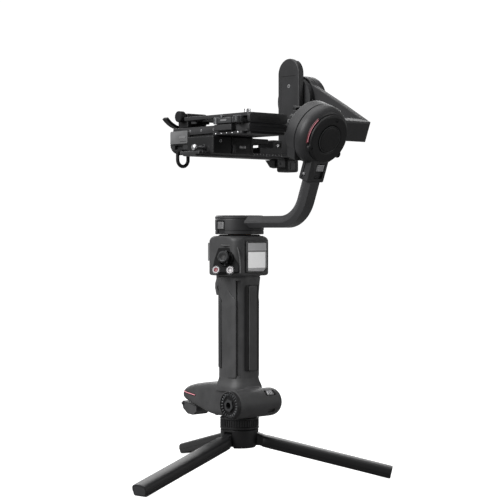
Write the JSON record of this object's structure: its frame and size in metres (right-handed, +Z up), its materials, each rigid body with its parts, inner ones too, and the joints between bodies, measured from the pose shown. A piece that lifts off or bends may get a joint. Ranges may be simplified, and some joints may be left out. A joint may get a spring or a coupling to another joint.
{
  "type": "handheld gimbal stabilizer",
  "caption": "Handheld camera gimbal with a control grip, folding mini tripod, powered pan, roll and tilt arms, and a sliding quick-release plate with a lens support.",
  "frame": {"origin": "point on the plane the feet stand on, on the pan motor's axis", "axes": "+Z up along the pan axis, +Y forwards where the lens points, +X to the user's right"},
  "size_m": [0.2454, 0.2684, 0.401],
  "materials": {
    "dark_plastic": "satin moulded",
    "deep_plastic": "fine matte",
    "dark_metal": "fine textured coat",
    "leg_metal": "satin coat",
    "grip_rubber": "matte soft-touch",
    "grey_metal": "anodised",
    "copper": "enamelled windings",
    "steel": "brushed",
    "red": "satin",
    "button_silver": "satin",
    "glass": "gloss screen",
    "diffuser": "frosted",
    "cell": "shrink wrap"
  },
  "bodies": {
    "handle": {"tripod_hub": "leg_metal", "leg_pins": "steel", "base_housing": "dark_plastic", "base_bottom_cover": "deep_plastic", "rosette_mount": "deep_plastic", "nose_accent": "red", "grip_shell": "dark_plastic", "front_grip_pad": "grip_rubber", "rear_grip_pad": "grip_rubber", "battery_pack": "cell", "head_housing": "dark_plastic", "thumb_console": "deep_plastic", "screen_bezel": "deep_plastic", "screen_glass": "glass", "fill_light_lens": "diffuser", "cover_screws": "steel", "pan_motor_stator": "copper"},
    "leg_1": {"leg_1": "leg_metal"},
    "leg_2": {"leg_2": "leg_metal"},
    "leg_3": {"leg_3": "leg_metal"},
    "tripod_ring": {"tripod_collar": "leg_metal"},
    "release_lever": {"release_lever": "dark_plastic"},
    "base_lock": {"base_lock_slider": "button_silver"},
    "trigger": {"trigger": "deep_plastic"},
    "joystick_yoke": {"joystick_yoke": "grey_metal"},
    "joystick": {"joystick_cap": "grip_rubber"},
    "record_button": {"record_button": "button_silver"},
    "mode_button": {"mode_button": "button_silver"},
    "pan_arm": {"pan_housing": "dark_metal", "pan_arm": "dark_metal", "roll_stator_housing": "dark_metal", "roll_motor_core": "copper", "roll_cap_ring": "deep_plastic", "roll_cap": "deep_plastic", "roll_accent_arc": "red"},
    "pan_lock": {"pan_lock_slider": "button_silver"},
    "roll_lock": {"roll_lock_slider": "button_silver"},
    "roll_motor": {"roll_rotor_housing": "dark_metal"},
    "roll_clamp_lever": {"roll_clamp_lever": "deep_plastic"},
    "roll_arm": {"roll_arm": "dark_metal", "tilt_stator_housing": "dark_metal", "tilt_motor_core": "copper"},
    "tilt_lock": {"tilt_lock_slider": "button_silver"},
    "tilt_motor": {"tilt_rotor_housing": "dark_metal"},
    "tilt_arm": {"tilt_arm": "dark_metal"},
    "height_clamp_lever": {"height_clamp_lever": "deep_plastic"},
    "cross_slide": {"cross_slide": "deep_plastic"},
    "cross_slide_pin": {"cross_slide_pin": "steel"},
    "deck": {"slide_rail": "grey_metal"},
    "deck_knob": {"slide_lock_knob": "deep_plastic"},
    "ring": {"d_ring": "deep_plastic"},
    "plate_lever": {"quick_release_lever": "grey_metal"},
    "plate": {"quick_release_plate": "dark_metal"},
    "camera_screw": {"camera_screw": "steel"},
    "lens_support": {"lens_support_block": "deep_plastic"},
    "lens_knob": {"lens_support_knob": "deep_plastic"},
    "lens_cradle": {"lens_cradle": "grip_rubber"}
  },
  "joints": [
    {"name": "leg_1_fold", "type": "hinge", "parent": "handle", "child": "leg_1", "pos_m": [0.00472, 0.01371, 0.035], "axis": [-0.9455, 0.3256, 0], "range_deg": [0, 75]},
    {"name": "leg_2_fold", "type": "hinge", "parent": "handle", "child": "leg_2", "pos_m": [-0.01423, -0.00277, 0.035], "axis": [0.1908, -0.9816, 0], "range_deg": [0, 75]},
    {"name": "leg_3_fold", "type": "hinge", "parent": "handle", "child": "leg_3", "pos_m": [0.00951, -0.01094, 0.035], "axis": [0.7547, 0.6561, 0], "range_deg": [0, 75]},
    {"name": "tripod_ring_turn", "type": "hinge", "parent": "handle", "child": "tripod_ring", "pos_m": [0, 0, 0.05], "axis": [0, 0, 1], "continuous": true},
    {"name": "release_lever_pull", "type": "hinge", "parent": "handle", "child": "release_lever", "pos_m": [0, 0.073, 0.0624], "axis": [1, 0, 0], "range_deg": [0, 30], "stiffness_Nm_per_rad": 0.05, "springref_deg": -11.46},
    {"name": "base_lock_slide", "type": "slide", "parent": "handle", "child": "base_lock", "axis": [1, 0, 0], "range_m": [-0.0025, 0.0025]},
    {"name": "trigger_pull", "type": "hinge", "parent": "handle", "child": "trigger", "pos_m": [0, 0.0223, 0.1878], "axis": [-1, 0, 0], "range_deg": [0, 8], "stiffness_Nm_per_rad": 0.05, "springref_deg": -11.46},
    {"name": "joystick_tilt_vertical", "type": "hinge", "parent": "handle", "child": "joystick_yoke", "pos_m": [-0.02613, -0.01007, 0.2065], "axis": [0.2326, 0.1135, 0.9659], "range_deg": [-12, 12], "stiffness_Nm_per_rad": 0.01},
    {"name": "joystick_tilt_sideways", "type": "hinge", "parent": "joystick_yoke", "child": "joystick", "pos_m": [-0.02613, -0.01007, 0.2065], "axis": [-0.4384, 0.8988, 0], "range_deg": [-12, 12], "stiffness_Nm_per_rad": 0.01},
    {"name": "record_press", "type": "slide", "parent": "handle", "child": "record_button", "axis": [0.8682, 0.4234, -0.2588], "range_m": [0, 0.0008], "stiffness_N_per_m": 500, "springref_m": -0.0004},
    {"name": "mode_press", "type": "slide", "parent": "handle", "child": "mode_button", "axis": [0.8682, 0.4234, -0.2588], "range_m": [0, 0.0008], "stiffness_N_per_m": 500, "springref_m": -0.0004},
    {"name": "pan", "type": "hinge", "parent": "handle", "child": "pan_arm", "pos_m": [0, 0, 0.24], "axis": [0, 0, 1], "continuous": true},
    {"name": "pan_lock", "type": "slide", "parent": "pan_arm", "child": "pan_lock", "axis": [0, 0, -1], "range_m": [0, 0.003]},
    {"name": "roll_lock", "type": "slide", "parent": "pan_arm", "child": "roll_lock", "axis": [0, 0.3584, -0.9336], "range_m": [0, 0.0055]},
    {"name": "roll", "type": "hinge", "parent": "pan_arm", "child": "roll_motor", "pos_m": [0, 0, 0.36], "axis": [0, 0.9336, 0.3584], "range_deg": [-95, 240]},
    {"name": "roll_clamp", "type": "hinge", "parent": "roll_motor", "child": "roll_clamp_lever", "pos_m": [0.012, -0.09036, 0.34063], "axis": [0, 0.3584, -0.9336], "range_deg": [0, 100]},
    {"name": "roll_arm_slide", "type": "slide", "parent": "roll_motor", "child": "roll_arm", "axis": [1, 0, 0], "range_m": [-0.008, 0.006]},
    {"name": "tilt_lock", "type": "slide", "parent": "roll_arm", "child": "tilt_lock", "axis": [0, 0.9336, 0.3584], "range_m": [0, 0.0012]},
    {"name": "tilt", "type": "hinge", "parent": "roll_arm", "child": "tilt_motor", "pos_m": [0, 0, 0.36], "axis": [-1, 0, 0], "range_deg": [-195, 115]},
    {"name": "tilt_arm_height", "type": "slide", "parent": "tilt_motor", "child": "tilt_arm", "axis": [0, 0, 1], "range_m": [-0.01, 0.01]},
    {"name": "height_clamp", "type": "hinge", "parent": "tilt_arm", "child": "height_clamp_lever", "pos_m": [0.048, 0, 0.2974], "axis": [0, 1, 0], "range_deg": [-60, 0]},
    {"name": "cross_slide", "type": "slide", "parent": "tilt_arm", "child": "cross_slide", "axis": [1, 0, 0], "range_m": [-0.01, 0.005]},
    {"name": "cross_slide_pin_pull", "type": "slide", "parent": "cross_slide", "child": "cross_slide_pin", "axis": [-1, 0, 0], "range_m": [0, 0.003], "stiffness_N_per_m": 300, "springref_m": -0.002},
    {"name": "deck_slide", "type": "slide", "parent": "cross_slide", "child": "deck", "axis": [0, 1, 0], "range_m": [-0.006, 0.02]},
    {"name": "deck_lock_turn", "type": "hinge", "parent": "deck", "child": "deck_knob", "pos_m": [-0.028, 0.045, 0.3155], "axis": [0, 1, 0], "range_deg": [0, 270]},
    {"name": "ring_swing", "type": "hinge", "parent": "deck", "child": "ring", "pos_m": [-0.0356, 0.0415, 0.3066], "axis": [1, 0, 0], "range_deg": [-80, 80]},
    {"name": "plate_clamp", "type": "hinge", "parent": "deck", "child": "plate_lever", "pos_m": [-0.0452, -0.02, 0.333], "axis": [0, 0, -1], "range_deg": [0, 60]},
    {"name": "plate_slide", "type": "slide", "parent": "deck", "child": "plate", "axis": [0, 1, 0], "range_m": [-0.01, 0.01]},
    {"name": "camera_screw_turn", "type": "hinge", "parent": "plate", "child": "camera_screw", "pos_m": [-0.017, -0.03, 0.337], "axis": [0, 0, 1], "continuous": true},
    {"name": "lens_support_slide", "type": "slide", "parent": "plate", "child": "lens_support", "axis": [0, 1, 0], "range_m": [-0.004, 0.004]},
    {"name": "lens_knob_turn", "type": "hinge", "parent": "lens_support", "child": "lens_knob", "pos_m": [-0.017, 0.0485, 0.3418], "axis": [1, 0, 0], "range_deg": [0, 270]},
    {"name": "cradle_height", "type": "slide", "parent": "lens_support", "child": "lens_cradle", "axis": [0, 0, 1], "range_m": [0, 0.004]}
  ]
}
